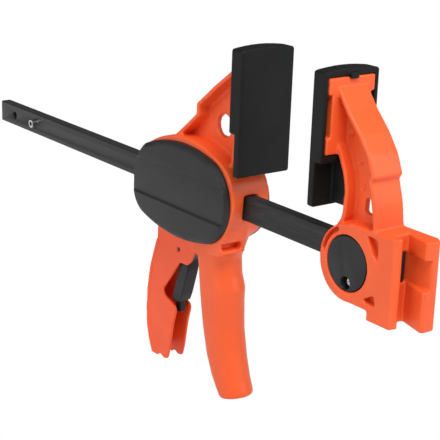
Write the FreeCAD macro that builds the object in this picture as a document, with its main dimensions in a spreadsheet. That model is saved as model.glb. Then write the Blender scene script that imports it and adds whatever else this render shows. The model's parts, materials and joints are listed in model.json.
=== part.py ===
import FreeCAD, Part
import math
import os
import re
import Sketcher

# Quick release bar clamp, millimetres. Origin: middle of the fixed jaw's clamping face.
# +X runs along the bar past the fixed jaw, +Z is up from the bar to the jaws, -Y is the near side.

os.makedirs("parts", exist_ok=True)
doc = FreeCAD.newDocument("BarClamp")
vec = FreeCAD.Vector

# Sizes

# Lengths across the bar, and those that don't follow the outlines
lengths = {
    # reach is the length that every share is taken of
    "reach": 100.0,
    # bar and its stop pin
    "bar_thick": 6.7,
    "bar_rear": 329.0,
    "bar_edge": 0.8,
    "rear_hole_dia": 5.0,
    "rear_hole_inset": 18.0,
    "stop_hole_inset": 44.2,
    "stop_pin_dia": 5.0,
    "stop_pin_bore": 3.0,
    "stop_pin_length": 12.4,
    # fits
    "bar_fit": 0.22,
    "plate_fit": 0.5,
    "soft_gap": 0.3,
    "part_gap": 0.3,
    "shaft_fit": 0.05,
    "press_gap": 0.01,
    # jaw pads and the plates they are pushed onto
    "pad_half_width": 16.9,
    "pad_wall": 2.4,
    "pad_rib_half": 5.0,
    "pad_tongue_half": 2.6,
    "pad_round": 1.2,
    "plate_waist_half": 12.0,
    # column and arm
    "flange_thick": 2.4,
    "web_half": 1.6,
    "back_flange_half": 9.1,
    "arm_flange_half": 9.8,
    "front_flange_half": 7.4,
    "mark_depth": 0.8,
    # hub of the fixed jaw and its button
    "hub_half": 9.6,
    "disc_gap": 0.5,
    "disc_thick": 1.8,
    "disc_sunk": 0.2,
    "rim_wall": 1.0,
    "crescent_depth": 4.0,
    "button_travel": 2.4,
    "button_boss_length": 4.6,
    "lug_entry": 2.0,
    "well_shoulder": 4.0,
    "screw_head_thick": 1.5,
    "screw_head_depth": 2.6,
    "screw_shank_length": 8.0,
    # coupling block
    "mouth_half_width": 4.4,
    "block_pocket_depth": 4.0,
    # carriage housing and covers
    "housing_half": 11.9,
    "cover_face": 12.0,
    "cover_thick": 3.6,
    "cover_round": 2.8,
    "groove_depth": 1.2,
    "groove_slant": 1.0,
    "handle_half": 10.0,
    "handle_round": 2.4,
    "slot_far": 0.3,
    "slot_wall": 1.2,
    "bar_mouth_half": 4.6,
    "neck_far": 3.0,
    "cover_screw_radius": 1.4,
    "cover_screw_head_radius": 2.6,
    "cover_screw_head": 1.5,
    "cover_screw_seat": 1.0,
    "cover_screw_tip": 1.8,
    # trigger
    "trigger_half": 5.9,
    "trigger_wall": 1.5,
    "rim_width": 1.8,
    "rim_rise": 0.5,
    "trigger_pin_dia": 2.5,
    "pin_sunk": 0.6,
    "lug_half": 4.1,
    # plates and springs
    "drive_half_width": 7.5,
    "spring_wire": 1.2,
    "spring_room": 0.5,
    "drive_turns": 3.75,
    "brake_turns": 5.0,
    "button_wire": 0.7,
    "button_turns": 3.0,
    "brake_half_width": 7.5,
    "brake_tongue_half": 3.2,
    "brake_tilt": 1.5,
    # release lever
    "lever_hub_half": 10.0,
    "lever_half": 3.9,
    "tongue_half": 1.8,
    "lever_pin_dia": 3.5,
    "lever_pin_length": 26.6,
}

# Sizes along the bar and up from it, as shares of reach
shares = {
    "bar_drop": 0.525,
    "opening": 0.531,
    "bar_height": 0.134,
    "bar_front": 0.481,
    "pad_low": 0.201,
    "pad_step": 0.42,
    "pad_top": 0.867,
    "pad_face_thick": 0.049,
    "pad_skirt": 0.042,
    "pad_depth": 0.087,
    "plate_back": 0.092,
    "plate_low": 0.46,
    "plate_top": 0.824,
    "plate_tab": 0.08,
    "mark_radius": 0.017,
    # hub, disc and button
    "hub_x": 0.226,
    "hub_z": -0.038,
    "hub_radius": 0.19,
    "hub_foot": 0.225,
    "disc_radius": 0.134,
    "ring_radius": 0.159,
    "button_drop": 0.097,
    "button_boss_radius": 0.036,
    "button_post_radius": 0.024,
    "button_lug_radius": 0.026,
    "screw_hole_radius": 0.032,
    "screw_head_radius": 0.0205,
    "screw_shank_radius": 0.011,
    # coupling block
    "block_low": 0.272,
    "block_high": 0.163,
    "block_start": 0.38,
    "mouth_start": 0.404,
    "mouth_half_height": 0.074,
    # housing and covers
    "groove_top": 0.104,
    "groove_low": 0.088,
    "groove_front": -0.14,
    "cavity_wall": 0.065,
    "slot_low": 0.244,
    "slot_high": 0.202,
    "slot_end": 0.215,
    "slot_notch": 0.183,
    "bar_mouth_height": 0.07,
    "bar_mouth_end": -0.11,
    "arm_hole_x": -0.325,
    "arm_hole_z": 0.395,
    "arm_hole_radius": 0.062,
    "lever_slot_rear": -0.575,
    "lever_slot_front": -0.477,
    "lever_slot_low": -0.333,
    "lever_slot_high": -0.1,
    "horn_slot_rear": -0.78,
    "horn_slot_front": -0.595,
    "horn_slot_top": -0.08,
    "well_rear": -0.495,
    "well_low": 0.238,
    "seat_rear": -0.96,
    "spring_seat": -0.892,
    "spring_seat_half": 0.105,
    "roof": 0.235,
    "roof_rib": 0.016,
    "bulkhead_thick": 0.05,
    # trigger
    "trigger_x": -0.648,
    "trigger_z": -0.377,
    "lug_radius": 0.026,
    "lug_top": -0.2,
    "nose_radius": 0.026,
    "nose_x": -0.664,
    "nose_z": -0.12,
    # plates
    "drive_front": -0.693,
    "drive_thick": 0.024,
    "drive_top": 0.141,
    "drive_low": 0.151,
    "brake_x": -0.435,
    "brake_pivot_z": 0.166,
    "brake_thick": 0.026,
    "brake_low": 0.218,
    "brake_tongue_top": 0.15,
    # release lever
    "lever_x": -0.52,
    "lever_z": -0.142,
    "lever_hub_radius": 0.036,
    "fork_wall": 0.01,
}

sheet = doc.addObject("Spreadsheet::Sheet", "Sizes")
cells = dict(lengths)
for name, value in shares.items():
    cells[name + "_share"] = value
for row, (name, value) in enumerate(cells.items(), start=1):
    sheet.set(f"A{row}", name)
    sheet.set(f"B{row}", str(value))
    sheet.setAlias(f"B{row}", name)
doc.recompute()

# Outlines as shares of reach, x then height. A third number rounds that corner.
# Four numbers are an arc: a point it passes through, then its end.

cover_shares = [
    (-0.986, -0.045), (-0.96, 0.103, -0.882, 0.197), (-0.553, 0.268, -0.241, 0.221),
    (-0.148, 0.136, -0.112, 0.03), (-0.155, -0.134, -0.269, -0.229),
    (-0.56, -0.268, -0.892, -0.212), (-0.972, -0.135, -0.986, -0.045),
]
housing_shares = [
    (-0.962, -0.04), (-0.938, 0.108, -0.865, 0.205), (-0.61, 0.294, -0.204, 0.22),
    (-0.126, 0.155, -0.09, 0.03), (-0.158, -0.145, -0.245, -0.216),
    (-0.56, -0.258, -0.876, -0.2), (-0.951, -0.125, -0.962, -0.04),
]
column_back_shares = [
    (0.065, 0.79), (0.1, 0.775, 0.02), (0.176, 0.68, 0.2), (0.266, 0.588, 0.2),
    (0.331, 0.5, 0.2), (0.369, 0.41, 0.01), (0.352, 0.385, 0.01), (0.386, 0.28, 0.3),
    (0.403, 0.17, 0.1), (0.403, 0.05),
]
column_front_shares = [
    (0.065, 0.52), (0.093, 0.473, 0.03), (0.141, 0.375, 0.15), (0.158, 0.303, 0.15),
    (0.15, 0.172, 0.08), (0.11, 0.11),
]
arm_back_shares = [
    (-0.71, 0.245), (-0.666, 0.279, 0.1), (-0.568, 0.358, 0.3), (-0.468, 0.441, 0.02),
    (-0.468, 0.498, 0.02), (-0.407, 0.546, 0.2), (-0.323, 0.614, 0.3),
    (-0.265, 0.656, 0.3), (-0.197, 0.706, 0.3), (-0.104, 0.776, 0.02), (-0.065, 0.79),
]
arm_front_shares = [
    (-0.065, 0.52), (-0.093, 0.473, 0.03), (-0.141, 0.375, 0.15), (-0.158, 0.303, 0.15),
    (-0.165, 0.22, 0.05), (-0.22, 0.16),
]
# Sections of the grip: height, rear end, front end
grip_shares = [
    (-0.12, -0.505, -0.14), (-0.2, -0.495, -0.158), (-0.26, -0.487, -0.185),
    (-0.32, -0.478, -0.209), (-0.41, -0.463, -0.199), (-0.49, -0.452, -0.168),
    (-0.56, -0.441, -0.17), (-0.72, -0.41, -0.16), (-0.88, -0.366, -0.126),
    (-0.99, -0.313, -0.091), (-1.06, -0.262, -0.06), (-1.17, -0.17, -0.02),
]
grip_end_shares = [(-0.4, -1.18), (-0.4, -1.146), (0.05, -1.05), (0.05, -1.18)]
grip_end_depth = 0.47
trigger_shares = [
    (-0.492, -0.318, 0.01), (-0.489, -0.345, 0.01), (-0.53, -0.419, 0.02),
    (-0.566, -0.449, 0.02), (-0.634, -0.452, 0.01), (-0.661, -0.485, 0.1),
    (-0.725, -0.575, 0.1), (-0.79, -0.655, 0.05), (-0.775, -0.69, 0.03),
    (-0.71, -0.71, 0.05), (-0.665, -0.732, 0.02), (-0.663, -0.76, 0.03),
    (-0.686, -0.841, 0.3), (-0.713, -1.0, 0.03), (-0.732, -1.07, 0.02),
    (-0.77, -1.078, 0.02), (-0.803, -1.06, 0.03), (-0.837, -1.083, 0.02),
    (-0.88, -1.08, 0.02), (-0.918, -1.0, 0.1), (-0.94, -0.92, 0.2), (-0.946, -0.82, 0.3),
    (-0.943, -0.7, 0.3), (-0.918, -0.547, 0.4), (-0.889, -0.46, 0.3), (-0.858, -0.37, 0.1),
    (-0.857, -0.275, 0.02), (-0.62, -0.285, 0.05),
]
# Run of that outline's points, bottom to top, that the rim along its rear edge follows
rim_points = (18, 26)
channel_shares = [
    (-0.4, -0.14), (-0.4, -1.2), (-0.88, -1.2), (-0.896, -1.0, 0.1), (-0.918, -0.92, 0.2),
    (-0.924, -0.82, 0.3), (-0.921, -0.7, 0.3), (-0.897, -0.547, 0.4), (-0.868, -0.46, 0.3),
    (-0.837, -0.37, 0.1), (-0.836, -0.14),
]
trigger_horn_shares = [
    (-0.7, -0.32), (-0.685, -0.13, 0.01), (-0.66, -0.1, 0.03), (-0.63, -0.13, 0.01),
    (-0.6, -0.32),
]
lever_shares = [
    (-0.495, -0.16), (-0.495, -0.3, 0.05), (-0.51, -0.365, 0.03), (-0.577, -0.43, 0.03),
    (-0.583, -0.49, 0.1), (-0.607, -0.57, 0.2), (-0.632, -0.65, 0.1), (-0.652, -0.695, 0.01),
    (-0.713, -0.715, 0.01), (-0.723, -0.69, 0.02), (-0.715, -0.652, 0.1),
    (-0.689, -0.576, 0.2), (-0.657, -0.47, 0.02), (-0.563, -0.405, 0.03), (-0.548, -0.3, 0.1),
    (-0.545, -0.16),
]
fork_shares = [(-0.49, -0.185), (-0.49, -0.13), (-0.53, -0.155), (-0.53, -0.2), (-0.49, -0.215, 0.01)]
fork_tip_shares = [(0, -0.215), (0, -0.185)]
tongue_shares = [(-0.668, -0.68), (-0.668, -0.772, 0.01), (-0.713, -0.772, 0.01), (-0.713, -0.68)]
pad_tongue_shares = [
    (0.08, 0.83), (0.096, 0.83), (0.096, 0.814), (0.107, 0.814), (0.107, 0.846), (0.08, 0.846),
]
# Block with a flat front that carries the slot, and the skirts beside the top of the trigger
neck_shares = [
    (-0.3, -0.12), (-0.14, -0.12), (-0.16, -0.19, 0.01), (-0.16, -0.262, 0.015),
    (-0.2, -0.285, 0.03), (-0.3, -0.285),
]
skirt_shares = [(-0.54, -0.23), (-0.54, -0.27, 0.02), (-0.49, -0.315, 0.02), (-0.4, -0.34), (-0.4, -0.23)]
pad_rib_shares = [
    (0.03, 0.215), (0.145, 0.215, 0.01), (0.152, 0.3, 0.05), (0.135, 0.372, 0.05),
    (0.115, 0.42), (0.03, 0.42),
]
# Plan of the coupling block: x as a share of reach, y as a share of the hub's half width
block_plan_shares = [
    (0.38, -1), (0.535, -1, 0.01), (0.545, -0.48, 0.005), (0.483, -0.54, 0.005),
    (0.483, 0.45, 0.005), (0.645, 0, 0.015), (0.648, 0.85, 0.02), (0.606, 1.12, 0.02), (0.38, 1.12),
]
block_pocket_shares = [
    [(0.351, 0.139, 0.008), (0.426, 0.128, 0.01), (0.43, 0.032, 0.006), (0.4, 0.049, 0.01)],
    [(0.35, -0.177, 0.006), (0.421, -0.138, 0.008), (0.433, -0.193, 0.01), (0.37, -0.19, 0.008)],
]
web_hole_shares = [(0.244, 0.206, 0.01), (0.319, 0.206, 0.01), (0.292, 0.278, 0.008), (0.25, 0.278, 0.008)]
mark_shares = [(0.123, 0.563), (0.196, 0.444), (0.222, 0.325)]
cover_screw_shares = [(-0.9, 0.115), (-0.225, 0.165), (-0.375, -0.215)]
crescent_angles = (114, 172)


def size(name):
    if name in shares:
        return float(sheet.get("reach")) * float(sheet.get(name + "_share"))
    return float(sheet.get(name))


def bind(text):
    """Expression in which the sizes that follow reach are written out."""
    return re.sub(r"Sizes\.(\w+)", lambda found: f"(Sizes.reach * Sizes.{found[1]}_share)"
                  if found[1] in shares else found[0], text)


def spread(outline, mirror=1):
    """Shares of reach turned into millimetres."""
    reach = float(sheet.get("reach"))
    steps = []
    for step in outline:
        signs = (mirror, 1, 1) if len(step) < 4 else (mirror, 1, mirror, 1)
        steps.append(tuple(value * sign * reach for value, sign in zip(step, signs)))
    return steps


def plan(outline, wide):
    """Plan outline whose y is a share of a half width across the bar."""
    reach = float(sheet.get("reach"))
    return [(step[0] * reach, step[1] * wide, *(value * reach for value in step[2:])) for step in outline]


def ends(step):
    return vec(step[-2], step[-1], 0) if len(step) == 4 else vec(step[0], step[1], 0)


def rounded(before, corner, after, radius):
    """Tangent points and middle of the arc that rounds a corner."""
    back = (before - corner).normalize()
    ahead = (after - corner).normalize()
    half = back.getAngle(ahead) / 2
    run = radius / math.tan(half)
    inward = (back + ahead).normalize()
    centre = corner + inward * (radius / math.sin(half))
    return corner + back * run, centre - inward * radius, corner + ahead * run


def closedEdges(steps):
    """Edges of a closed outline made of lines, rounded corners and arcs."""
    if len(steps[-1]) == 4:
        start = ends(steps[0])
        edges = []
        for step in steps[1:]:
            edges.append(Part.Arc(start, vec(step[0], step[1], 0), ends(step)))
            start = ends(step)
        return edges
    corners = [vec(step[0], step[1], 0) for step in steps]
    pieces = []
    count = len(corners)
    for index, step in enumerate(steps):
        if len(step) < 3:
            pieces.append((corners[index], None, corners[index]))
            continue
        before = corners[index - 1]
        after = corners[(index + 1) % count]
        turn = (before - corners[index]).getAngle(after - corners[index]) / 2
        room = 0.48 * min((before - corners[index]).Length, (after - corners[index]).Length)
        radius = min(step[2], room * math.tan(turn))
        pieces.append(rounded(before, corners[index], after, radius))
    edges = []
    for index, (first, middle, last) in enumerate(pieces):
        if middle is not None:
            edges.append(Part.Arc(first, middle, last))
        following = pieces[(index + 1) % count][0]
        edges.append(Part.LineSegment(last, following))
    return edges


def band(steps, thick):
    """Closed strip of one thickness along an open run of points, on its left side."""
    points = [vec(step[0], step[1], 0) for step in steps]
    shifted = []
    for index, point in enumerate(points):
        sides = []
        if index > 0:
            sides.append((point - points[index - 1]).normalize())
        if index < len(points) - 1:
            sides.append((points[index + 1] - point).normalize())
        normals = [vec(-side.y, side.x, 0) for side in sides]
        middle = sum(normals[1:], normals[0]).normalize()
        stretch = 1 / max(0.5, middle.dot(normals[0]))
        moved = point + middle * (thick * stretch)
        shifted.append((moved.x, moved.y) + tuple(steps[index][2:]))
    return list(steps) + shifted[::-1]


def newBody(name, x=None, z="-Sizes.bar_drop"):
    body = doc.addObject("PartDesign::Body", name)
    body.Label = name
    if x:
        body.setExpression("Placement.Base.x", bind(x))
    if z:
        body.setExpression("Placement.Base.z", bind(z))
    return body


carriage_x = "-Sizes.opening"


def newSketch(body, role, offset=None):
    sketch = body.newObject("Sketcher::SketchObject", body.Label + "_sketch")
    plane = [item for item in body.Origin.OriginFeatures if item.Role == role][0]
    sketch.AttachmentSupport = [(plane, "")]
    sketch.MapMode = "FlatFace"
    if offset:
        sketch.setExpression("AttachmentOffset.Base.z", bind(offset))
    return sketch


def drawOutline(body, role, steps, offset=None):
    sketch = newSketch(body, role, offset)
    for edge in closedEdges(steps):
        sketch.addGeometry(edge)
    return sketch


def drawBox(body, role, low, high, offset=None):
    corners = [(low[0], low[1]), (high[0], low[1]), (high[0], high[1]), (low[0], high[1])]
    return drawOutline(body, role, corners, offset)


def drawCircle(body, role, centre, radius, offset=None, inner=None):
    """Circle or ring whose radius follows the sheet."""
    sketch = newSketch(body, role, offset)
    for expression in [radius] + ([inner] if inner else []):
        expression = bind(expression)
        start = sheet.evalExpression(expression)
        number = sketch.addGeometry(Part.Circle(vec(centre[0], centre[1], 0), vec(0, 0, 1), start))
        fixed = sketch.addConstraint(Sketcher.Constraint("Radius", number, start))
        sketch.setExpression(f"Constraints[{fixed}]", expression)
    return sketch


def pad(sketch, length, midplane=False, reverse=False):
    body = sketch.getParentGeoFeatureGroup()
    feature = body.newObject("PartDesign::Pad", body.Label + "_pad")
    feature.Profile = sketch
    feature.setExpression("Length", bind(length))
    feature.Midplane = midplane
    feature.Reversed = reverse
    sketch.Visibility = False
    return feature


def pocket(sketch, length, midplane=False, reverse=False):
    body = sketch.getParentGeoFeatureGroup()
    feature = body.newObject("PartDesign::Pocket", body.Label + "_pocket")
    feature.Profile = sketch
    feature.setExpression("Length", bind(length))
    feature.Midplane = midplane
    feature.Reversed = reverse
    sketch.Visibility = False
    return feature


def fillet(feature, radius, chosen):
    """Round the edges of a feature that the test picks."""
    doc.recompute()
    names = [f"Edge{number}" for number, edge in enumerate(feature.Shape.Edges, start=1) if chosen(edge)]
    body = feature.getParentGeoFeatureGroup()
    rounding = body.newObject("PartDesign::Fillet", body.Label + "_round")
    rounding.Base = (feature, names)
    rounding.setExpression("Radius", bind(radius))
    doc.recompute()
    return rounding


def flatAt(edge, axis, level, slack=0.001):
    box = edge.BoundBox
    low = (box.XMin, box.YMin, box.ZMin)[axis]
    high = (box.XMax, box.YMax, box.ZMax)[axis]
    return abs(low - level) < slack and abs(high - level) < slack


def coil(name, start, end, inner, turns, wire, placement):
    """Round wire wound about X from start to end, as one unbroken tube on quarter turn arcs."""
    middle = inner + wire / 2
    quarters = int(round(turns * 4))
    rise = (end - start - wire) / quarters
    begin = start + wire / 2

    def at(quarter):
        angle = quarter * math.pi / 2
        return vec(begin + rise * quarter, middle * math.cos(angle), middle * math.sin(angle))

    arcs = [Part.Arc(at(q), at(q + 0.5), at(q + 1)).toShape() for q in range(quarters)]
    ring = Part.Wire(Part.Circle(at(0), vec(0, 0, 1), wire / 2).toShape())
    feature = doc.addObject("Part::Feature", name)
    feature.Label = name
    feature.Shape = Part.Wire(arcs).makePipeShell([ring], True, False)
    feature.Placement = placement
    print(name, "gap between turns", round(rise * 4 - wire, 2))
    return feature


# Bar

bar = newBody("bar")
bar_sketch = drawOutline(bar, "YZ_Plane", [
    (-size("bar_thick") / 2, -size("bar_height") / 2, size("bar_edge")),
    (size("bar_thick") / 2, -size("bar_height") / 2, size("bar_edge")),
    (size("bar_thick") / 2, size("bar_height") / 2, size("bar_edge")),
    (-size("bar_thick") / 2, size("bar_height") / 2, size("bar_edge")),
], "-Sizes.bar_rear")
pad(bar_sketch, "Sizes.bar_rear + Sizes.bar_front")
for centre, radius in (
    (-size("bar_rear") + size("rear_hole_inset"), "Sizes.rear_hole_dia / 2"),
    (-size("bar_rear") + size("stop_hole_inset"), "Sizes.stop_pin_dia / 2 + Sizes.press_gap"),
    (size("hub_x"), "Sizes.button_lug_radius + Sizes.part_gap"),
):
    pocket(drawCircle(bar, "XZ_Plane", (centre, 0), radius), "2 * Sizes.bar_thick", midplane=True)

stop_pin = newBody("stop_pin")
pad(
    drawCircle(stop_pin, "XZ_Plane", (-size("bar_rear") + size("stop_hole_inset"), 0),
               "Sizes.stop_pin_dia / 2", inner="Sizes.stop_pin_bore / 2"),
    "Sizes.stop_pin_length", midplane=True,
)


# Jaw plate, flanges and web, alike on the fixed jaw and on the moving arm

def jawPlate(body, side):
    wide = size("pad_half_width") - size("pad_wall") - size("soft_gap")
    waist = size("plate_waist_half")
    low = size("plate_low")
    top = size("plate_top")
    tab = size("plate_tab")
    half = [(wide, low), (wide, low + tab), (waist, low + tab), (waist, top - tab), (wide, top - tab)]
    half.append((wide, top))
    steps = half + [(-y, z) for y, z in reversed(half)]
    front = "(Sizes.pad_face_thick + Sizes.soft_gap)"
    offset = front if side > 0 else f"-{front}"
    sketch = drawOutline(body, "YZ_Plane", steps, offset)
    pad(sketch, f"Sizes.plate_back - {front}", reverse=side < 0)


def jawFrame(body, back, front, side, back_half):
    """Thin web between a wide back flange and a narrower front flange, which runs from top to bottom."""
    outer = spread(back)
    inner = spread(front)
    around = outer + inner if side < 0 else outer + inner[::-1]
    silhouette = [step[:2] for step in around]
    thick = size("flange_thick")
    pad(drawOutline(body, "XZ_Plane", silhouette), "2 * Sizes.web_half", midplane=True)
    pad(drawOutline(body, "XZ_Plane", band(outer, -thick)), f"2 * {back_half}", midplane=True)
    front_flange = drawOutline(body, "XZ_Plane", band(inner, side * thick))
    pad(front_flange, "2 * Sizes.front_flange_half", midplane=True)


# Fixed jaw

fixed_jaw = newBody("fixed_jaw")
jawPlate(fixed_jaw, 1)
doc.recompute()
jawFrame(fixed_jaw, column_back_shares, column_front_shares, 1, "Sizes.back_flange_half")
hub = (size("hub_x"), size("hub_z"))
pad(drawCircle(fixed_jaw, "XZ_Plane", hub, "Sizes.hub_radius"), "2 * Sizes.hub_half", midplane=True)
hub_back = drawBox(fixed_jaw, "XZ_Plane", (size("hub_x"), -size("hub_foot")),
                   (size("block_start"), size("block_high")))
pad(hub_back, "2 * Sizes.hub_half", midplane=True)
pad(
    drawOutline(fixed_jaw, "XY_Plane", plan(block_plan_shares, size("hub_half")), "-Sizes.block_low"),
    "Sizes.block_low + Sizes.block_high",
)
doc.recompute()


def faceDepth(side, depth):
    """Sketch offset of one hub face and the pocket direction into it."""
    return ("Sizes.hub_half", False) if side < 0 else ("-Sizes.hub_half", True)


for side, floor in ((-1, "Sizes.disc_sunk + Sizes.disc_thick + Sizes.button_travel + Sizes.part_gap"),
                    (1, "Sizes.disc_sunk + Sizes.disc_thick + Sizes.press_gap")):
    offset, turned = faceDepth(side, floor)
    pocket(drawCircle(fixed_jaw, "XZ_Plane", hub, "Sizes.disc_radius + Sizes.disc_gap", offset), floor,
           reverse=turned)

# A crescent in each face between the ring round the disc and the hub's outer rim
ring_out = size("ring_radius")
ring_in = size("hub_radius") - size("rim_wall")
for side in (-1, 1):
    offset, turned = faceDepth(side, None)
    sketch = newSketch(fixed_jaw, "XZ_Plane", offset)
    first, last = crescent_angles
    spots = []
    for angle in (first, (first + last) / 2, last):
        direction = vec(math.cos(math.radians(angle)), math.sin(math.radians(angle)), 0)
        spots.append((direction * ring_out + vec(*hub, 0), direction * ring_in + vec(*hub, 0)))
    sketch.addGeometry(Part.Arc(spots[0][0], spots[1][0], spots[2][0]))
    sketch.addGeometry(Part.LineSegment(spots[2][0], spots[2][1]))
    sketch.addGeometry(Part.Arc(spots[2][1], spots[1][1], spots[0][1]))
    sketch.addGeometry(Part.LineSegment(spots[0][1], spots[0][0]))
    pocket(sketch, "Sizes.crescent_depth", reverse=turned)
    for outline in block_pocket_shares:
        pocket(drawOutline(fixed_jaw, "XZ_Plane", spread(outline), offset), "Sizes.block_pocket_depth",
               reverse=turned)

# Hole through the web and shallow round marks beside it
pocket(drawOutline(fixed_jaw, "XZ_Plane", spread(web_hole_shares)), "4 * Sizes.web_half", midplane=True)
for spot in spread(mark_shares):
    pocket(drawCircle(fixed_jaw, "XZ_Plane", spot, "Sizes.mark_radius", "Sizes.web_half"), "Sizes.mark_depth")

# Bar tunnel, wider at the mouth in the coupling channel
half_y = size("bar_thick") / 2 + size("bar_fit")
half_z = size("bar_height") / 2 + size("bar_fit")
pocket(drawBox(fixed_jaw, "YZ_Plane", (-half_y, -half_z), (half_y, half_z)), "Sizes.reach", reverse=True)
mouth_y = size("mouth_half_width")
mouth_z = size("mouth_half_height")
pocket(drawBox(fixed_jaw, "YZ_Plane", (-mouth_y, -mouth_z), (mouth_y, mouth_z), "Sizes.mouth_start"),
       "Sizes.reach", reverse=True)

# Well of the release button below the bar, with a shoulder for its spring, and the lug's hole
button = (size("hub_x"), size("hub_z") - size("button_drop"))
well = drawCircle(fixed_jaw, "XZ_Plane", button, "Sizes.button_boss_radius + Sizes.part_gap", "Sizes.hub_half")
pocket(well, "Sizes.hub_half + Sizes.well_shoulder")
pocket(drawCircle(fixed_jaw, "XZ_Plane", button, "Sizes.button_post_radius + Sizes.part_gap"),
       "2 * Sizes.hub_half")
pocket(drawCircle(fixed_jaw, "XZ_Plane", (size("hub_x"), 0), "Sizes.button_lug_radius + Sizes.part_gap"),
       "2 * Sizes.hub_half")
doc.recompute()

# Release button in the hub: near disc, rear disc, screw and spring

disc_back = "(Sizes.hub_half - Sizes.disc_sunk - Sizes.disc_thick)"
disc_face = f"{disc_back} + Sizes.disc_thick"
lock_button = newBody("lock_button")
pad(drawCircle(lock_button, "XZ_Plane", hub, "Sizes.disc_radius", disc_back), "Sizes.disc_thick")
pad(drawCircle(lock_button, "XZ_Plane", button, "Sizes.button_boss_radius", disc_back),
    "Sizes.button_boss_length", reverse=True)
pocket(drawCircle(lock_button, "XZ_Plane", button, "Sizes.screw_hole_radius", disc_face),
       "Sizes.disc_thick + Sizes.screw_head_depth")
pocket(drawCircle(lock_button, "XZ_Plane", button, "Sizes.screw_shank_radius + Sizes.press_gap", disc_face),
       "Sizes.hub_half")

rear_button = newBody("rear_button")
pad(drawCircle(rear_button, "XZ_Plane", hub, "Sizes.disc_radius", f"-{disc_back}"), "Sizes.disc_thick",
    reverse=True)
pad(drawCircle(rear_button, "XZ_Plane", button, "Sizes.button_post_radius", f"-{disc_back}"),
    f"2 * {disc_back} - Sizes.button_boss_length")
pad(drawCircle(rear_button, "XZ_Plane", (size("hub_x"), 0), "Sizes.button_lug_radius", f"-{disc_back}"),
    f"{disc_back} - Sizes.bar_thick / 2 + Sizes.lug_entry")
pocket(drawCircle(rear_button, "XZ_Plane", button, "Sizes.screw_shank_radius + Sizes.press_gap",
                  f"{disc_back} - Sizes.button_boss_length"), "Sizes.screw_shank_length")

button_screw = newBody("button_screw")
head_seat = f"({disc_back} - Sizes.screw_head_depth)"
pad(drawCircle(button_screw, "XZ_Plane", button, "Sizes.screw_head_radius", head_seat),
    "Sizes.screw_head_thick")
pad(drawCircle(button_screw, "XZ_Plane", button, "Sizes.screw_shank_radius", head_seat),
    "Sizes.screw_shank_length", reverse=True)
doc.recompute()


# Pads

def jawPad(name, side, x):
    body = newBody(name, x)
    wide = size("pad_half_width")
    wall = size("pad_wall")
    gap = size("soft_gap")
    turned = side < 0
    lower = drawBox(body, "YZ_Plane", (-wide, size("pad_low")), (wide, size("pad_step")))
    pad(lower, "Sizes.pad_skirt", reverse=turned)
    upper = drawBox(body, "YZ_Plane", (-wide, size("pad_step")), (wide, size("pad_top")))
    solid = pad(upper, "Sizes.pad_depth", reverse=turned)
    solid = fillet(solid, "Sizes.pad_round", lambda edge: flatAt(edge, 0, 0) or (
        edge.BoundBox.XLength > size("pad_skirt") / 2 and abs(abs(edge.BoundBox.YMin) - wide) < 0.001))
    offset = "Sizes.pad_face_thick" if side > 0 else "-Sizes.pad_face_thick"
    low = size("plate_low") - gap
    cavity = drawBox(body, "YZ_Plane", (-wide + wall, low), (wide - wall, size("plate_top") + gap), offset)
    pocket(cavity, "Sizes.pad_depth", reverse=side > 0)
    rib = drawOutline(body, "XZ_Plane", spread(pad_rib_shares, side))
    pad(rib, "2 * Sizes.pad_rib_half", midplane=True)
    pad(drawOutline(body, "XZ_Plane", spread(pad_tongue_shares, side)), "2 * Sizes.pad_tongue_half",
        midplane=True)
    doc.recompute()
    return body


fixed_pad = jawPad("fixed_pad", 1, None)
moving_pad = jawPad("moving_pad", -1, carriage_x)

# Housing with its handle and arm

housing = newBody("housing", carriage_x)
grip_half = size("handle_half")
sections = []
for height, rear, front in spread(grip_shares):
    depth = min(grip_half, grip_end_depth * (front - rear))
    sketch = newSketch(housing, "XY_Plane")
    corners = [vec(front - depth, -grip_half, 0), vec(front - depth, grip_half, 0),
               vec(rear + depth, grip_half, 0), vec(rear + depth, -grip_half, 0)]
    sketch.addGeometry(Part.Arc(corners[0], vec(front, 0, 0), corners[1]))
    sketch.addGeometry(Part.LineSegment(corners[1], corners[2]))
    sketch.addGeometry(Part.Arc(corners[2], vec(rear, 0, 0), corners[3]))
    sketch.addGeometry(Part.LineSegment(corners[3], corners[0]))
    sketch.AttachmentOffset = FreeCAD.Placement(vec(0, 0, height), FreeCAD.Rotation())
    sections.append(sketch)
grip = housing.newObject("PartDesign::AdditiveLoft", "housing_grip")
grip.Profile = sections[0]
grip.Sections = sections[1:]
grip.Ruled = True
grip_end = pocket(drawOutline(housing, "XZ_Plane", spread(grip_end_shares)), "4 * Sizes.handle_half",
                  midplane=True)
grip_bottom = spread(grip_end_shares)[2][1]
fillet(grip_end, "Sizes.handle_round", lambda edge: edge.BoundBox.ZMax < grip_bottom)
pad(drawOutline(housing, "XZ_Plane", spread(housing_shares)), "2 * Sizes.housing_half", midplane=True)
pad(drawOutline(housing, "XZ_Plane", spread(neck_shares), "Sizes.housing_half"),
    "Sizes.housing_half + Sizes.neck_far", reverse=True)
skirt_start = "(Sizes.trigger_half + Sizes.plate_fit)"
for offset, turned in ((skirt_start, False), (f"-{skirt_start}", True)):
    pad(drawOutline(housing, "XZ_Plane", spread(skirt_shares), offset), f"Sizes.handle_half - {skirt_start}",
        reverse=turned)
jawPlate(housing, -1)
jawFrame(housing, arm_back_shares, arm_front_shares, -1, "Sizes.arm_flange_half")
doc.recompute()

# Cavity between the covers, bar slots and the lever's, trigger's and brake plate's openings


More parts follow.
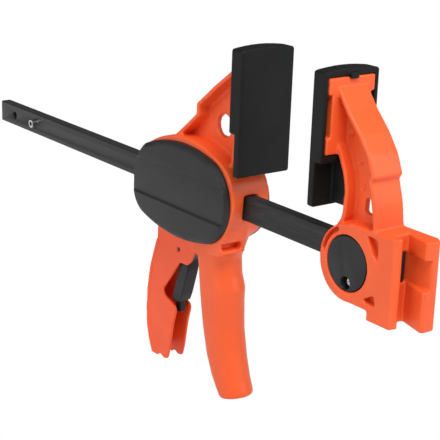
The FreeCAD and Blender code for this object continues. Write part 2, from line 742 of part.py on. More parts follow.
def inset(steps, wall):
    """Outline drawn in towards its middle by a wall thickness."""
    points = [ends(step) for step in steps]
    low = vec(min(p.x for p in points), min(p.y for p in points), 0)
    high = vec(max(p.x for p in points), max(p.y for p in points), 0)
    middle = (low + high) / 2
    share_x = 1 - 2 * wall / (high.x - low.x)
    share_z = 1 - 2 * wall / (high.y - low.y)
    moved = []
    for step in steps:
        numbers = []
        for index in range(0, len(step), 2):
            numbers.append(middle.x + (step[index] - middle.x) * share_x)
            numbers.append(middle.y + (step[index + 1] - middle.y) * share_z)
        moved.append(tuple(numbers))
    return moved


cover_steps = spread(cover_shares)
cavity_steps = inset(cover_steps, size("cavity_wall"))
pocket(drawOutline(housing, "XZ_Plane", cavity_steps), "4 * Sizes.housing_half", midplane=True)
pocket(drawBox(housing, "XZ_Plane", (size("lever_slot_rear"), size("lever_slot_low")),
               (size("lever_slot_front"), size("lever_slot_high"))),
       "2 * (Sizes.lever_half + Sizes.part_gap)", midplane=True)
horn_out = size("trigger_half") + size("part_gap")
horn_in = size("trigger_half") - size("trigger_wall") - size("part_gap")
for side in (-1, 1):
    low, high = sorted((side * horn_in, side * horn_out))
    pocket(drawBox(housing, "XY_Plane", (size("horn_slot_rear"), low), (size("horn_slot_front"), high),
                   "-Sizes.block_low"), "Sizes.block_low + Sizes.horn_slot_top", reverse=True)
lean = (size("brake_pivot_z") + size("brake_low")) * math.sin(math.radians(size("brake_tilt")))
grip_x = size("brake_x") + lean
gap_half = size("brake_thick") / 2 + size("soft_gap") + size("shaft_fit")
fork_front = grip_x + gap_half + size("fork_wall")
pocket(drawBox(housing, "XZ_Plane", (size("well_rear"), -size("well_low")),
               (fork_front + size("part_gap"), -size("well_low") / 2)),
       "2 * (Sizes.lever_half + Sizes.part_gap)", midplane=True)

# Flat seat of the drive spring at the cavity's rear end
pad(drawBox(housing, "XZ_Plane", (size("seat_rear"), -size("spring_seat_half")),
            (size("spring_seat"), size("spring_seat_half"))), "2 * Sizes.housing_half", midplane=True)

# Lug for the trigger's pin, bulkhead between the plates, and the brake plate's roof ribs
roof = size("roof")
pin = (size("trigger_x"), size("trigger_z"))
lug_radius = size("lug_radius")
pad(drawBox(housing, "XZ_Plane", (pin[0] - lug_radius, pin[1]), (pin[0] + lug_radius, size("lug_top"))),
    "2 * Sizes.lug_half", midplane=True)
pad(drawCircle(housing, "XZ_Plane", pin, "Sizes.lug_radius"), "2 * Sizes.lug_half", midplane=True)
pocket(drawCircle(housing, "XZ_Plane", pin, "Sizes.trigger_pin_dia / 2 + Sizes.press_gap"),
       "3 * Sizes.lug_half", midplane=True)
bulk_high = size("drive_front") + size("part_gap")
pad(drawBox(housing, "XZ_Plane", (bulk_high, size("bar_height") / 2 + size("bar_fit")),
            (bulk_high + size("bulkhead_thick"), roof)), "2 * Sizes.housing_half", midplane=True)
brake_half = size("brake_thick") / 2 + size("soft_gap")
for side in (-1, 1):
    near = size("brake_x") + side * brake_half
    far = near + side * size("roof_rib")
    low, high = sorted((near, far))
    pad(drawBox(housing, "XZ_Plane", (low, size("brake_pivot_z") - size("brake_thick") / 2), (high, roof)),
        "2 * Sizes.housing_half", midplane=True)
slide = (size("bar_thick") / 2 + size("bar_fit"), size("bar_height") / 2 + size("bar_fit"))
pocket(drawBox(housing, "YZ_Plane", (-slide[0], -slide[1]), slide), "3 * Sizes.reach", midplane=True)

# Wider mouth round the bar in the front wall
pocket(drawBox(housing, "YZ_Plane", (-size("bar_mouth_half"), -size("bar_mouth_height")),
               (size("bar_mouth_half"), size("bar_mouth_height")), "Sizes.bar_mouth_end"),
       "Sizes.opening", reverse=True)

# Slot in the front under the bar, with a notch that opens it to the near side
for depth, offset, length in (
    ("slot_end", "Sizes.housing_half - Sizes.slot_wall", "Sizes.housing_half - Sizes.slot_wall + Sizes.slot_far"),
    ("slot_notch", "Sizes.housing_half", "2 * Sizes.slot_wall"),
):
    opening = drawBox(housing, "XZ_Plane", (-size(depth), -size("slot_low")), (0, -size("slot_high")), offset)
    pocket(opening, length)
hole = (size("arm_hole_x"), size("arm_hole_z"))
pocket(drawCircle(housing, "XZ_Plane", hole, "Sizes.arm_hole_radius"), "4 * Sizes.web_half", midplane=True)
screw_spots = spread(cover_screw_shares)
for spot in screw_spots:
    pocket(drawCircle(housing, "XZ_Plane", spot, "Sizes.cover_screw_radius + Sizes.press_gap"),
           "3 * Sizes.housing_half", midplane=True)
doc.recompute()


# Covers, each with a shallow groove along the bar

def sideCover(name, side):
    body = newBody(name, carriage_x)
    near = side < 0
    sections = []
    for drawn_in, rise in ((0, "0"), (0.15, "0.55"), (0.55, "0.9"), (1, "1")):
        level = f"(Sizes.cover_face + Sizes.cover_thick * {rise})"
        steps = inset(cover_steps, size("cover_round") * drawn_in)
        sections.append(drawOutline(body, "XZ_Plane", steps, level if near else f"-{level}"))
    dome = body.newObject("PartDesign::AdditiveLoft", name + "_dome")
    dome.Profile = sections[0]
    dome.Sections = sections[1:]
    dome.Ruled = True
    face = "Sizes.cover_face" if near else "-Sizes.cover_face"
    floor = size("cover_face") + size("cover_thick") - size("groove_depth")
    outside = floor + 2 * size("groove_depth")
    top = size("groove_top")
    low = -size("groove_low")
    spread_out = 2 * size("groove_slant")
    groove = drawOutline(body, "YZ_Plane", [
        (side * floor, low), (side * outside, low - spread_out), (side * outside, top + spread_out),
        (side * floor, top),
    ], "Sizes.groove_front")
    pocket(groove, "Sizes.reach")
    pivot = (size("lever_x"), size("lever_z"))
    depth = "Sizes.lever_pin_length / 2 + Sizes.press_gap - Sizes.cover_face"
    pocket(drawCircle(body, "XZ_Plane", pivot, "Sizes.lever_pin_dia / 2 + Sizes.press_gap", face), depth,
           reverse=near)
    for spot in screw_spots:
        bore = drawCircle(body, "XZ_Plane", spot, "Sizes.cover_screw_radius + Sizes.press_gap", face)
        pocket(bore, "Sizes.cover_screw_tip" if near else "2 * Sizes.cover_thick", reverse=near)
        if not near:
            sink = drawCircle(body, "XZ_Plane", spot, "Sizes.cover_screw_head_radius + Sizes.shaft_fit",
                              "-Sizes.cover_face - Sizes.cover_screw_seat")
            pocket(sink, "2 * Sizes.cover_thick", reverse=False)
    doc.recompute()
    return body


near_cover = sideCover("near_cover", -1)
far_cover = sideCover("far_cover", 1)

# Three screws that hold the covers together through the housing, put in from the far side
cover_screws = doc.addObject("Part::Compound", "cover_screws")
cover_screws.Label = "cover_screws"
turned_to_y = FreeCAD.Rotation(vec(1, 0, 0), -90)
screws = []
for spot in screw_spots:
    shank = doc.addObject("Part::Cylinder", "cover_screw_shank")
    shank.setExpression("Radius", "Sizes.cover_screw_radius")
    shank.setExpression("Height", "2 * Sizes.cover_face + Sizes.cover_screw_tip + Sizes.cover_screw_seat"
                        " - Sizes.part_gap")
    head = doc.addObject("Part::Cylinder", "cover_screw_head")
    head.setExpression("Radius", "Sizes.cover_screw_head_radius")
    head.setExpression("Height", "Sizes.cover_screw_head")
    start = "-Sizes.cover_face - Sizes.cover_screw_tip + Sizes.part_gap"
    for piece, level in ((shank, start), (head, "Sizes.cover_face + Sizes.cover_screw_seat")):
        piece.Placement = FreeCAD.Placement(vec(spot[0], 0, spot[1]), turned_to_y)
        piece.setExpression("Placement.Base.y", bind(level))
    screw = doc.addObject("Part::Fuse", "cover_screw")
    screw.Base = shank
    screw.Tool = head
    screws.append(screw)
cover_screws.Links = screws
cover_screws.setExpression("Placement.Base.x", bind(carriage_x))
cover_screws.setExpression("Placement.Base.z", bind("-Sizes.bar_drop"))

# Trigger, a channel open at the front, with two horns and a nose that pushes the plates

trigger = newBody("trigger", carriage_x)
trigger_steps = spread(trigger_shares)
pad(drawOutline(trigger, "XZ_Plane", trigger_steps), "2 * Sizes.trigger_half", midplane=True)
rim = band(trigger_steps[slice(*rim_points)], -size("rim_width"))
pad(drawOutline(trigger, "XZ_Plane", rim), "2 * (Sizes.trigger_half + Sizes.rim_rise)", midplane=True)
pad(drawOutline(trigger, "XZ_Plane", spread(trigger_horn_shares)), "2 * Sizes.trigger_half", midplane=True)
pocket(drawOutline(trigger, "XZ_Plane", spread(channel_shares)),
       "2 * (Sizes.trigger_half - Sizes.trigger_wall)", midplane=True)
pad(drawCircle(trigger, "XZ_Plane", (size("nose_x"), size("nose_z")), "Sizes.nose_radius"),
    "2 * Sizes.trigger_half", midplane=True)
pocket(drawCircle(trigger, "XZ_Plane", pin, "Sizes.trigger_pin_dia / 2 + Sizes.shaft_fit"),
       "3 * Sizes.trigger_half", midplane=True)

trigger_pin = newBody("trigger_pin", carriage_x)
pad(drawCircle(trigger_pin, "XZ_Plane", pin, "Sizes.trigger_pin_dia / 2"),
    "2 * (Sizes.trigger_half - Sizes.pin_sunk)", midplane=True)
doc.recompute()


# Plates that grip the bar

def gripPlate(name, x, thick, low, high, half):
    """Steel plate square to the bar, with a slot that the bar runs through."""
    body = newBody(name, carriage_x)
    sketch = drawBox(body, "YZ_Plane", (-half, -low), (half, high), x)
    pad(sketch, thick, reverse=True)
    slot = (size("bar_thick") / 2 + size("plate_fit"), size("bar_height") / 2 + size("plate_fit"))
    pocket(drawBox(body, "YZ_Plane", (-slot[0], -slot[1]), slot, x), thick)
    return body


drive_wide = size("drive_half_width")
gripPlate("front_drive_plate", "Sizes.drive_front", "Sizes.drive_thick", size("drive_low"), size("drive_top"),
          drive_wide)
gripPlate("rear_drive_plate", "Sizes.drive_front - Sizes.drive_thick - Sizes.press_gap", "Sizes.drive_thick",
          size("drive_low"), size("drive_top"), drive_wide)

# Brake plate, hung from the roof and leaning so that its lower end is further forward
brake_plate = doc.addObject("PartDesign::Body", "brake_plate")
brake_plate.Label = "brake_plate"
brake_plate.setExpression("Placement.Base.x", bind("-Sizes.opening + Sizes.brake_x"))
brake_plate.setExpression("Placement.Base.z", bind("-Sizes.bar_drop + Sizes.brake_pivot_z"))
brake_plate.Placement.Rotation = FreeCAD.Rotation(vec(0, 1, 0), 0)
brake_plate.setExpression("Placement.Rotation.Angle", "-1deg * Sizes.brake_tilt")
hang = size("brake_pivot_z")
tongue = size("brake_tongue_half")
plate_half = size("brake_half_width")
neck = -hang - size("brake_tongue_top")
foot = -hang - size("brake_low")
crown = size("brake_thick") / 2
brake_sketch = drawOutline(brake_plate, "YZ_Plane", [
    (-tongue, foot), (tongue, foot), (tongue, neck), (plate_half, neck), (plate_half, crown),
    (-plate_half, crown), (-plate_half, neck), (-tongue, neck),
])
pad(brake_sketch, "Sizes.brake_thick", midplane=True)
room = size("bar_fit") + size("brake_thick") * math.sin(math.radians(size("brake_tilt"))) / 2
brake_side = size("bar_thick") / 2 + size("plate_fit")
brake_slot = drawBox(brake_plate, "YZ_Plane", (-brake_side, -hang - size("bar_height") / 2 - room),
                     (brake_side, -hang + size("bar_height") / 2 + room))
pocket(brake_slot, "2 * Sizes.brake_thick", midplane=True)

# Release lever with a fork round the brake plate's lower end

release_lever = newBody("release_lever", carriage_x)
pivot = (size("lever_x"), size("lever_z"))
pad(drawOutline(release_lever, "XZ_Plane", spread(lever_shares)), "2 * Sizes.lever_half", midplane=True)
pad(drawCircle(release_lever, "XZ_Plane", pivot, "Sizes.lever_hub_radius"), "2 * Sizes.lever_hub_half",
    midplane=True)
pad(drawOutline(release_lever, "XZ_Plane", spread(tongue_shares)), "2 * Sizes.tongue_half", midplane=True)
fork = spread(fork_shares) + [(fork_front, step[1]) for step in spread(fork_tip_shares)]
pad(drawOutline(release_lever, "XZ_Plane", fork), "2 * Sizes.lever_half", midplane=True)
fork_gap = drawBox(release_lever, "XY_Plane", (grip_x - gap_half, -tongue - size("part_gap")),
                   (grip_x + gap_half, tongue + size("part_gap")), "-Sizes.block_low")
pocket(fork_gap, "Sizes.block_low - Sizes.bar_height / 2", reverse=True)
pocket(drawCircle(release_lever, "XZ_Plane", pivot, "Sizes.lever_pin_dia / 2 + Sizes.shaft_fit"),
       "3 * Sizes.lever_hub_half", midplane=True)

lever_pin = newBody("lever_pin", carriage_x)
pad(drawCircle(lever_pin, "XZ_Plane", pivot, "Sizes.lever_pin_dia / 2"), "Sizes.lever_pin_length",
    midplane=True)
doc.recompute()

# Springs, drawn at rest

at_carriage = FreeCAD.Placement(vec(-size("opening"), 0, -size("bar_drop")), FreeCAD.Rotation())
rear_plate_back = size("drive_front") - 2 * size("drive_thick") - size("press_gap")
gap = size("part_gap")
spring_inner = math.hypot(size("bar_thick") / 2, size("bar_height") / 2) + size("spring_room")
coil("drive_spring", size("spring_seat") + gap, rear_plate_back - gap, spring_inner,
     size("drive_turns"), size("spring_wire"), at_carriage)
brake_back = size("brake_x") - size("brake_thick") / 2
coil("brake_spring", size("drive_front") + size("bulkhead_thick") + 2 * gap, brake_back - gap,
     spring_inner, size("brake_turns"), size("spring_wire"), at_carriage)
disc_inner = size("hub_half") - size("disc_sunk") - size("disc_thick")
boss_end = -disc_inner + size("button_boss_length")
at_button = FreeCAD.Placement(vec(button[0], 0, button[1] - size("bar_drop")),
                              FreeCAD.Rotation(vec(0, 0, 1), 90))
coil("button_spring", boss_end + gap / 3, size("well_shoulder") - gap / 3,
     size("button_post_radius") + gap, size("button_turns"), size("button_wire"), at_button)

# Checks and hand-over

doc.recompute()
broken = [item.Name for item in doc.Objects if {"Invalid", "Error"} & set(item.State)]
if broken:
    raise RuntimeError("broken features: " + ", ".join(broken))
kinds = ("PartDesign::Body", "Part::Feature", "Part::Compound")
nodes = [item for item in doc.Objects if item.TypeId in kinds]
for node in nodes:
    if node.Shape.isNull() or not node.Shape.isValid():
        raise RuntimeError("bad shape: " + node.Label)
    node.Shape.exportStep(f"parts/{node.Label}.step")
print(len(nodes), "sub-parts written")
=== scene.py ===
import json
import math
import bpy
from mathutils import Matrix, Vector

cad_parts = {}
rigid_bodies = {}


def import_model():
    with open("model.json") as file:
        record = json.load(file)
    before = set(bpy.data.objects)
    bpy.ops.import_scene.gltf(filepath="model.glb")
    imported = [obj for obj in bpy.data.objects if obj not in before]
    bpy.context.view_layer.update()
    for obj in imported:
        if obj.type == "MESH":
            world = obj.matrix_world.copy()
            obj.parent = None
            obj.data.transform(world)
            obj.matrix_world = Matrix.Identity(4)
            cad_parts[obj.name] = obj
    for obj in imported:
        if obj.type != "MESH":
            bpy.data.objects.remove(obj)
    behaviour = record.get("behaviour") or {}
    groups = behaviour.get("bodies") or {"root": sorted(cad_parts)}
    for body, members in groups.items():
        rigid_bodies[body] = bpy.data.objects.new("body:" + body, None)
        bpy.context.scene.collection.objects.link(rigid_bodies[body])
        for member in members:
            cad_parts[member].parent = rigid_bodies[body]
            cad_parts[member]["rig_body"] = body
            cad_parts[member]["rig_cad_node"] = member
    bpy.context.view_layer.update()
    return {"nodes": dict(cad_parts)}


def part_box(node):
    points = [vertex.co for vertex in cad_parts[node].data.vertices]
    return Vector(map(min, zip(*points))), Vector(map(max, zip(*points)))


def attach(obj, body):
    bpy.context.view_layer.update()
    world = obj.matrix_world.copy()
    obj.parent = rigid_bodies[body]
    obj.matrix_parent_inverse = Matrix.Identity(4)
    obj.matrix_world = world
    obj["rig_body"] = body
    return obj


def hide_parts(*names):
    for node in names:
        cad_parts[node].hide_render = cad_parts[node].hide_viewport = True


# Quick release bar clamp, dressed over its CAD frame. Metres, origin on the fixed jaw's face.
bpy.ops.object.select_all(action="SELECT")
bpy.ops.object.delete()
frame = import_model()
print("frame loaded")


def deselectAll():
    if bpy.context.object and bpy.context.object.mode != "OBJECT":
        bpy.ops.object.mode_set(mode="OBJECT")
    bpy.ops.object.select_all(action="DESELECT")


def pickOnly(piece):
    deselectAll()
    piece.select_set(True)
    bpy.context.view_layer.objects.active = piece


def applyModifier(piece, kind, **settings):
    pickOnly(piece)
    modifier = piece.modifiers.new(kind.lower(), kind)
    for key, value in settings.items():
        setattr(modifier, key, value)
    bpy.ops.object.modifier_apply(modifier=modifier.name)


def smoothSides(piece, angle):
    pickOnly(piece)
    bpy.ops.object.shade_smooth_by_angle(angle=math.radians(angle))


def putMaterial(piece, material):
    piece.data.materials.clear()
    piece.data.materials.append(material)


# Plain shader, with the values that are the same all over the surface
def newMaterial(name, look):
    material = bpy.data.materials.new(name)
    material.use_nodes = True
    shader = material.node_tree.nodes["Principled BSDF"]
    shader.inputs["Base Color"].default_value = (*look["base"], 1)
    shader.inputs["Roughness"].default_value = look["rough"]
    shader.inputs["Metallic"].default_value = look.get("metal", 0)
    shader.inputs["Specular IOR Level"].default_value = look.get("specular", 0.5)
    return material, shader


# Noise on object coordinates, stretched along an axis when the finish has a direction
def grainOf(material, scale, detail, stretch=(1, 1, 1)):
    nodes, links = material.node_tree.nodes, material.node_tree.links
    place = nodes.new("ShaderNodeTexCoord")
    mapping = nodes.new("ShaderNodeMapping")
    mapping.inputs["Scale"].default_value = stretch
    noise = nodes.new("ShaderNodeTexNoise")
    noise.inputs["Scale"].default_value = scale
    noise.inputs["Detail"].default_value = detail
    links.new(place.outputs["Object"], mapping.inputs["Vector"])
    links.new(mapping.outputs["Vector"], noise.inputs["Vector"])
    return noise


def blendColours(material, shader, noise, first, second, low=0.35, high=0.65):
    nodes, links = material.node_tree.nodes, material.node_tree.links
    ramp = nodes.new("ShaderNodeValToRGB")
    ramp.color_ramp.elements[0].position = low
    ramp.color_ramp.elements[1].position = high
    ramp.color_ramp.elements[0].color = (*first, 1)
    ramp.color_ramp.elements[1].color = (*second, 1)
    links.new(noise.outputs["Fac"], ramp.inputs["Fac"])
    links.new(ramp.outputs["Color"], shader.inputs["Base Color"])


def spreadRoughness(material, shader, noise, low, high):
    nodes, links = material.node_tree.nodes, material.node_tree.links
    span = nodes.new("ShaderNodeMapRange")
    span.inputs["To Min"].default_value = low
    span.inputs["To Max"].default_value = high
    links.new(noise.outputs["Fac"], span.inputs["Value"])
    links.new(span.outputs["Result"], shader.inputs["Roughness"])


def raiseGrain(material, shader, noise, strength, depth):
    nodes, links = material.node_tree.nodes, material.node_tree.links
    bump = nodes.new("ShaderNodeBump")
    bump.inputs["Strength"].default_value = strength
    bump.inputs["Distance"].default_value = depth
    links.new(noise.outputs["Fac"], bump.inputs["Height"])
    links.new(bump.outputs["Normal"], shader.inputs["Normal"])


# The fine grain is in the gloss and the bump. Two shades follow the cloud, or the grain where a finish
# has no cloud.
def makeFinish(name, look):
    material, shader = newMaterial(name, look)
    grain = grainOf(material, **look["grain"])
    if "pale" in look:
        cloud = grainOf(material, **look["cloud"]) if "cloud" in look else grain
        blendColours(material, shader, cloud, look.get("dark", look["base"]), look["pale"])
    spreadRoughness(material, shader, grain, **look["gloss"])
    raiseGrain(material, shader, grain, **look["bump"])
    return material


orangeFinish = {
    "base": (0.80, 0.097, 0.020), "pale": (0.87, 0.113, 0.024), "rough": 0.4, "specular": 0.38,
    "cloud": {"scale": 38, "detail": 3}, "grain": {"scale": 1900, "detail": 2},
    "gloss": {"low": 0.34, "high": 0.5}, "bump": {"strength": 0.16, "depth": 0.00006},
}
orange = makeFinish("orangeNylon", orangeFinish)

# The trigger is a little redder than the other mouldings
triggerFinish = {**orangeFinish, "base": (0.87, 0.088, 0.016), "pale": (0.93, 0.1, 0.019)}
triggerOrange = makeFinish("triggerNylon", triggerFinish)

coverFinish = {
    "base": (0.014, 0.014, 0.0145), "pale": (0.018, 0.018, 0.0185), "rough": 0.5, "specular": 0.35,
    "cloud": {"scale": 60, "detail": 4}, "grain": {"scale": 2600, "detail": 2},
    "gloss": {"low": 0.42, "high": 0.56}, "bump": {"strength": 0.3, "depth": 0.00008},
}
coverDark = makeFinish("coverPlastic", coverFinish)

leverFinish = {
    "base": (0.011, 0.011, 0.013), "pale": (0.017, 0.017, 0.019), "rough": 0.45, "specular": 0.28,
    "cloud": {"scale": 80, "detail": 4}, "grain": {"scale": 2200, "detail": 2},
    "gloss": {"low": 0.38, "high": 0.5}, "bump": {"strength": 0.2, "depth": 0.00006},
}
leverDark = makeFinish("leverPlastic", leverFinish)

padFinish = {
    "base": (0.005, 0.0053, 0.0056), "pale": (0.008, 0.0083, 0.0086), "rough": 0.6, "specular": 0.2,
    "cloud": {"scale": 45, "detail": 4}, "grain": {"scale": 1700, "detail": 3},
    "gloss": {"low": 0.5, "high": 0.68}, "bump": {"strength": 0.25, "depth": 0.0001},
}
padBlack = makeFinish("padRubber", padFinish)

# The bar's grain runs along it, and the plates' grain runs up them
barFinish = {
    "base": (0.015, 0.015, 0.016), "pale": (0.026, 0.026, 0.027), "rough": 0.45, "metal": 0.05,
    "specular": 0.27, "grain": {"scale": 900, "detail": 3, "stretch": (0.12, 1, 1)},
    "gloss": {"low": 0.36, "high": 0.52}, "bump": {"strength": 0.12, "depth": 0.00005},
}
barBlack = makeFinish("blackenedSteel", barFinish)

plateFinish = {
    "base": (0.36, 0.36, 0.37), "dark": (0.27, 0.27, 0.28), "pale": (0.42, 0.42, 0.43), "rough": 0.4,
    "metal": 1, "grain": {"scale": 700, "detail": 4, "stretch": (1, 1, 0.15)},
    "gloss": {"low": 0.3, "high": 0.5}, "bump": {"strength": 0.15, "depth": 0.00004},
}
plainSteel = makeFinish("plateSteel", plateFinish)

brightFinish = {
    "base": (0.62, 0.62, 0.64), "rough": 0.28, "metal": 1, "grain": {"scale": 1500, "detail": 3},
    "gloss": {"low": 0.2, "high": 0.36}, "bump": {"strength": 0.1, "depth": 0.00003},
}
brightSteel = makeFinish("brightSteel", brightFinish)

springFinish = {
    **brightFinish, "base": (0.45, 0.45, 0.47), "rough": 0.3, "grain": {"scale": 1200, "detail": 3},
    "gloss": {"low": 0.22, "high": 0.38},
}
springSteel = makeFinish("springSteel", springFinish)

# The button's screw is dull and pale
screwFinish = {
    **brightFinish, "base": (0.9, 0.9, 0.9), "rough": 0.35, "metal": 0.15,
    "gloss": {"low": 0.28, "high": 0.42},
}
screwPale = makeFinish("screwSteel", screwFinish)
print("materials made")

weldDistance = 0.00001  # joins the loose triangles of a CAD mesh


# Pieces that take the CAD shape and get moulded edges
def copyNode(node, pieceName, body, material):
    pickOnly(frame["nodes"][node])
    bpy.ops.object.duplicate()
    piece = bpy.context.object
    piece.parent = None
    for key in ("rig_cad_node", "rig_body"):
        if key in piece:
            del piece[key]
    piece.name = pieceName
    bpy.ops.object.mode_set(mode="EDIT")
    bpy.ops.mesh.select_all(action="SELECT")
    bpy.ops.mesh.remove_doubles(threshold=weldDistance)
    bpy.ops.object.mode_set(mode="OBJECT")
    putMaterial(piece, material)
    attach(piece, body)
    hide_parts(node)
    return piece


# Edges and inner corners come out softly rounded, as a mould leaves them
def softenAll(piece, look):
    applyModifier(piece, "REMESH", mode="VOXEL", voxel_size=look["voxel"])
    applyModifier(piece, "SMOOTH", factor=look["pull"], iterations=look["passes"])
    applyModifier(piece, "DECIMATE", ratio=look["keep"])
    smoothSides(piece, look["smooth"])


# Only the sharp outer edges are rounded, the faces stay flat
def softenEdges(piece, look):
    pickOnly(piece)
    bpy.ops.object.mode_set(mode="EDIT")
    bpy.ops.mesh.select_all(action="SELECT")
    bpy.ops.mesh.dissolve_limited(angle_limit=math.radians(look["flat"]))
    bpy.ops.object.mode_set(mode="OBJECT")
    applyModifier(piece, "BEVEL", width=look["edge"], segments=look["steps"], limit_method="ANGLE",
                  angle_limit=math.radians(look["sharp"]), use_clamp_overlap=True)
    smoothSides(piece, look["smooth"])


jawLook = {"voxel": 0.00052, "pull": 0.5, "passes": 7, "keep": 0.5, "smooth": 60}
fixedJaw = copyNode("fixed_jaw", "fixedJaw", "bar_body", orange)
softenAll(fixedJaw, jawLook)

housingLook = {"voxel": 0.00062, "pull": 0.5, "passes": 6, "keep": 0.5, "smooth": 60}
gripHousing = copyNode("housing", "gripHousing", "carriage", orange)
softenAll(gripHousing, housingLook)

triggerLook = {"voxel": 0.0004, "pull": 0.5, "passes": 7, "keep": 0.5, "smooth": 60}
squeezeTrigger = copyNode("trigger", "squeezeTrigger", "trigger", triggerOrange)
softenAll(squeezeTrigger, triggerLook)

leverLook = {"voxel": 0.00035, "pull": 0.5, "passes": 8, "keep": 0.5, "smooth": 60}
releaseLever = copyNode("release_lever", "releaseLever", "lever", leverDark)
softenAll(releaseLever, leverLook)
print("orange mouldings and lever made")

coverLook = {"flat": 0.6, "edge": 0.0004, "steps": 2, "sharp": 32, "smooth": 42}
nearCover = copyNode("near_cover", "nearCover", "carriage", coverDark)
farCover = copyNode("far_cover", "farCover", "carriage", coverDark)
for cover in (nearCover, farCover):
    softenEdges(cover, coverLook)
print("covers made")

padLook = {
    "crown": 0.0014, "topBand": 0.0014, "slices": 8,
    "voxel": 0.0004, "pull": 0.5, "passes": 6, "keep": 0.45, "smooth": 60,
}


# The pad's top is crowned: it falls away towards both sides
def crownTop(piece, node):
    low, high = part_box(node)
    half = (high[1] - low[1]) / 2
    pickOnly(piece)
    bpy.ops.object.mode_set(mode="EDIT")
    for number in range(1, padLook["slices"]):
        level = low[1] + 2 * half * number / padLook["slices"]
        bpy.ops.mesh.select_all(action="SELECT")
        bpy.ops.mesh.bisect(plane_co=(0, level, 0), plane_no=(0, 1, 0))
    bpy.ops.object.mode_set(mode="OBJECT")
    for vertex in piece.data.vertices:
        if vertex.co.z > high[2] - padLook["topBand"]:
            vertex.co.z -= padLook["crown"] * (vertex.co.y / half) ** 2


fixedPad = copyNode("fixed_pad", "fixedPad", "bar_body", padBlack)
movingPad = copyNode("moving_pad", "movingPad", "carriage", padBlack)
for pad, node in ((fixedPad, "fixed_pad"), (movingPad, "moving_pad")):
    crownTop(pad, node)
    softenAll(pad, padLook)
print("pads made")

discLook = {"flat": 0.6, "edge": 0.0003, "steps": 3, "sharp": 32, "smooth": 38}
nearDisc = copyNode("lock_button", "nearDisc", "button", leverDark)
farDisc = copyNode("rear_button", "farDisc", "button", leverDark)
for disc in (nearDisc, farDisc):
    softenEdges(disc, discLook)

barLook = {"flat": 0.6, "edge": 0.0002, "steps": 2, "sharp": 32, "smooth": 38}
flatBar = copyNode("bar", "flatBar", "bar_body", barBlack)
softenEdges(flatBar, barLook)
print("discs and bar made")

# Screw with a cross recess, sunk in the near disc
screwLook = {
    "headDeep": 0.0015, "headSides": 40, "headRound": 0.0003, "headSteps": 3,
    "slotLong": 0.0029, "slotWide": 0.0006, "slotDeep": 0.0009,
    "shankRadius": 0.0011, "shankSides": 24, "shankRound": 0.0002, "shankSteps": 2, "smooth": 35,
}
screwLow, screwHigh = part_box("button_screw")
screwX = (screwLow[0] + screwHigh[0]) / 2
screwZ = (screwLow[2] + screwHigh[2]) / 2
headRadius = (screwHigh[0] - screwLow[0]) / 2
headMiddle = screwLow[1] + screwLook["headDeep"] / 2
shankLong = screwHigh[1] - screwLow[1] - screwLook["headDeep"]
shankMiddle = screwHigh[1] - shankLong / 2
alongY = (math.radians(90), 0, 0)

deselectAll()
bpy.ops.mesh.primitive_cylinder_add(vertices=screwLook["headSides"], radius=headRadius,
                                    depth=screwLook["headDeep"], location=(screwX, headMiddle, screwZ),
                                    rotation=alongY)
buttonScrew = bpy.context.object
buttonScrew.name = "buttonScrew"
applyModifier(buttonScrew, "BEVEL", width=screwLook["headRound"], segments=screwLook["headSteps"],
              limit_method="ANGLE")
slotLevel = (screwLook["slotLong"], screwLook["slotWide"])
slotUpright = (screwLook["slotWide"], screwLook["slotLong"])
for slotX, slotZ in (slotLevel, slotUpright):
    deselectAll()
    bpy.ops.mesh.primitive_cube_add(size=1, location=(screwX, screwLow[1], screwZ))
    cutter = bpy.context.object
    cutter.scale = (slotX, 2 * screwLook["slotDeep"], slotZ)
    bpy.ops.object.transform_apply(location=False, rotation=False, scale=True)
    applyModifier(buttonScrew, "BOOLEAN", operation="DIFFERENCE", object=cutter, solver="EXACT")
    pickOnly(cutter)
    bpy.ops.object.delete()

deselectAll()
bpy.ops.mesh.primitive_cylinder_add(vertices=screwLook["shankSides"], radius=screwLook["shankRadius"],
                                    depth=shankLong, location=(screwX, shankMiddle, screwZ), rotation=alongY)
shank = bpy.context.object
applyModifier(shank, "BEVEL", width=screwLook["shankRound"], segments=screwLook["shankSteps"],
              limit_method="ANGLE")
pickOnly(buttonScrew)
shank.select_set(True)
bpy.ops.object.join()
bpy.ops.object.transform_apply(location=True, rotation=True, scale=True)
smoothSides(buttonScrew, screwLook["smooth"])
putMaterial(buttonScrew, screwPale)
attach(buttonScrew, "button")
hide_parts("button_screw")
print("screw made")

# CAD nodes that stay as they are
keptNodes = {
    "stop_pin": brightSteel, "cover_screws": brightSteel, "lever_pin": brightSteel, "trigger_pin": barBlack,
    "button_spring": springSteel, "drive_spring": springSteel, "brake_spring": springSteel,
    "front_drive_plate": plainSteel, "rear_drive_plate": plainSteel, "brake_plate": plainSteel,
}
for node, material in keptNodes.items():
    putMaterial(frame["nodes"][node], material)

# Floor, which shows white to the camera and in reflections and still takes the object's shadow
white = (1, 1, 1, 1)
floorLook = {"level": -0.1665, "size": 6.0, "base": (0.9, 0.9, 0.9), "rough": 0.9, "glow": 1.0}
deselectAll()
bpy.ops.mesh.primitive_plane_add(size=floorLook["size"], location=(0, 0, floorLook["level"]))
floor = bpy.context.object
floor.name = "paleFloor"
floorPaint, shader = newMaterial("paleFloor", floorLook)
floorNodes, floorLinks = floorPaint.node_tree.nodes, floorPaint.node_tree.links
glow = floorNodes.new("ShaderNodeEmission")
glow.inputs["Strength"].default_value = floorLook["glow"]
rays = floorNodes.new("ShaderNodeLightPath")
clearView = floorNodes.new("ShaderNodeMath")
clearView.operation = "MAXIMUM"
floorLinks.new(rays.outputs["Is Camera Ray"], clearView.inputs[0])
floorLinks.new(rays.outputs["Is Glossy Ray"], clearView.inputs[1])
floorMix = floorNodes.new("ShaderNodeMixShader")
floorLinks.new(clearView.outputs[0], floorMix.inputs["Fac"])
floorLinks.new(shader.outputs["BSDF"], floorMix.inputs[1])
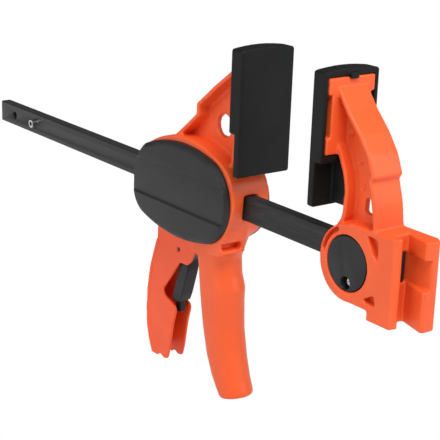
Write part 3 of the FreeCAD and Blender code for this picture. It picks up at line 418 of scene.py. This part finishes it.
floorLinks.new(glow.outputs["Emission"], floorMix.inputs[2])
floorLinks.new(floorMix.outputs["Shader"], floorNodes["Material Output"].inputs["Surface"])
putMaterial(floor, floorPaint)

# Room: low even light on the object, and a white wall for the camera only
roomLook = {"light": 0.16, "wall": 1.0}
world = bpy.data.worlds.new("paleRoom")
bpy.context.scene.world = world
world.use_nodes = True
worldNodes, worldLinks = world.node_tree.nodes, world.node_tree.links
roomLight = worldNodes["Background"]
roomLight.inputs["Color"].default_value = white
roomLight.inputs["Strength"].default_value = roomLook["light"]
whiteWall = worldNodes.new("ShaderNodeBackground")
whiteWall.inputs["Color"].default_value = white
whiteWall.inputs["Strength"].default_value = roomLook["wall"]
worldRays = worldNodes.new("ShaderNodeLightPath")
worldMix = worldNodes.new("ShaderNodeMixShader")
worldLinks.new(worldRays.outputs["Is Camera Ray"], worldMix.inputs["Fac"])
worldLinks.new(roomLight.outputs["Background"], worldMix.inputs[1])
worldLinks.new(whiteWall.outputs["Background"], worldMix.inputs[2])
worldLinks.new(worldMix.outputs["Shader"], worldNodes["World Output"].inputs["Surface"])

lamps = {
    "keyLamp": {"at": (0.5, -0.25, 0.95), "width": 0.6, "power": 13.2},
    "fillLamp": {"at": (-0.3, -1.1, 0.3), "width": 0.9, "power": 5.2},
    "backLamp": {"at": (0.8, 0.5, 0.4), "width": 0.6, "power": 4},
}
lampAim = Vector((-0.07, 0, -0.06))  # on the bar, inside the carriage
for name, lamp in lamps.items():
    bpy.ops.object.light_add(type="AREA", location=lamp["at"])
    light = bpy.context.object
    light.name = name
    light.data.shape = "SQUARE"
    light.data.size = lamp["width"]
    light.data.energy = lamp["power"]
    light.rotation_euler = (lampAim - Vector(lamp["at"])).to_track_quat("-Z", "Y").to_euler()

cameraLook = {
    "at": (0.45376, -0.41723, 0.14514), "turn": (72.837, -2.015, 53.036),
    "lensMm": 108.36, "sensorMm": 36, "farthest": 20,
}
cameraTurn = [math.radians(turn) for turn in cameraLook["turn"]]
bpy.ops.object.camera_add(location=cameraLook["at"], rotation=cameraTurn)
camera = bpy.context.object
camera.name = "photoCamera"
camera.data.lens = cameraLook["lensMm"]
camera.data.sensor_width = cameraLook["sensorMm"]
camera.data.clip_end = cameraLook["farthest"]
bpy.context.scene.camera = camera
bpy.context.scene.view_settings.view_transform = "Standard"
print("stage set")
